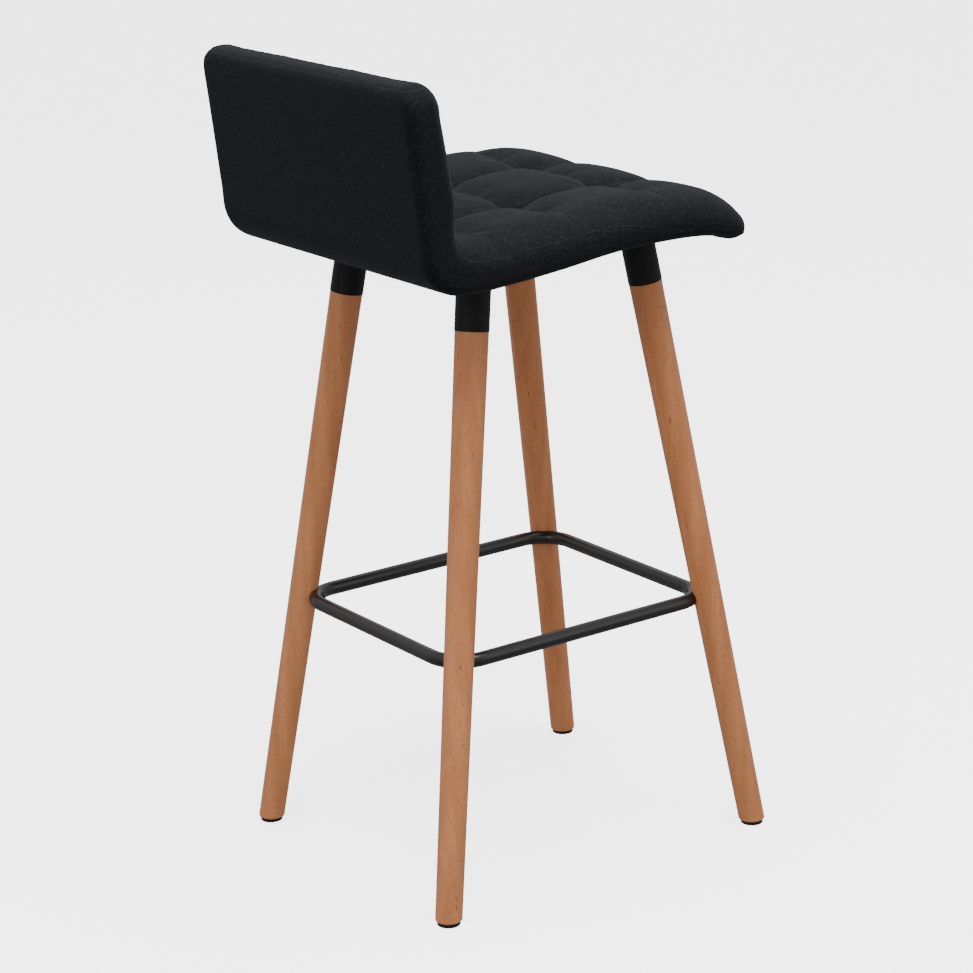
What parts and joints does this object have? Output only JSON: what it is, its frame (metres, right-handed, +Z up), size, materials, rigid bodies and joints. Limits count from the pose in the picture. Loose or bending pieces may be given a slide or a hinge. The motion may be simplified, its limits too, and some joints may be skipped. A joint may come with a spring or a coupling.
{
  "type": "bar stool",
  "caption": "Bar stool with a quilted seat, a low upholstered back, splayed turned wooden legs in steel sockets and a bent-tube footrest ring.",
  "frame": {"origin": "bottom centre of the whole stool's box, on the floor", "axes": "+Z up; -Y is the front, the way the sitter faces; +X is the sitter's left"},
  "size_m": [0.428, 0.5029, 0.97],
  "materials": {
    "fabric_black": "woven, near-black with fine grey flecks",
    "plywood": "bare bent plywood, hidden",
    "dust_cloth": "thin matte non-woven cloth",
    "black_powder_coat": "satin black powder coat",
    "black_satin_paint": "satin to gloss black paint",
    "zinc_steel": "zinc plated",
    "beech": "clear satin lacquer over straight-grained beech",
    "black_plastic": "matte"
  },
  "bodies": {
    "root": {"seat_cushion": "fabric_black", "back_cushion": "fabric_black", "rear_cover": "fabric_black", "seat_shell": "plywood", "dust_cover": "dust_cloth", "mounting_plate": "black_powder_coat", "mounting_bolts": "zinc_steel", "mounting_washers": "zinc_steel", "tee_nuts": "zinc_steel", "socket_front_left": "black_powder_coat", "socket_front_right": "black_powder_coat", "socket_rear_left": "black_powder_coat", "socket_rear_right": "black_powder_coat", "socket_screws": "zinc_steel", "leg_front_left": "beech", "leg_front_right": "beech", "leg_rear_left": "beech", "leg_rear_right": "beech", "footrest_ring": "black_satin_paint", "footrest_screws": "black_satin_paint", "glide_front_left": "black_plastic", "glide_front_right": "black_plastic", "glide_rear_left": "black_plastic", "glide_rear_right": "black_plastic", "glide_nails": "zinc_steel"}
  },
  "joints": []
}
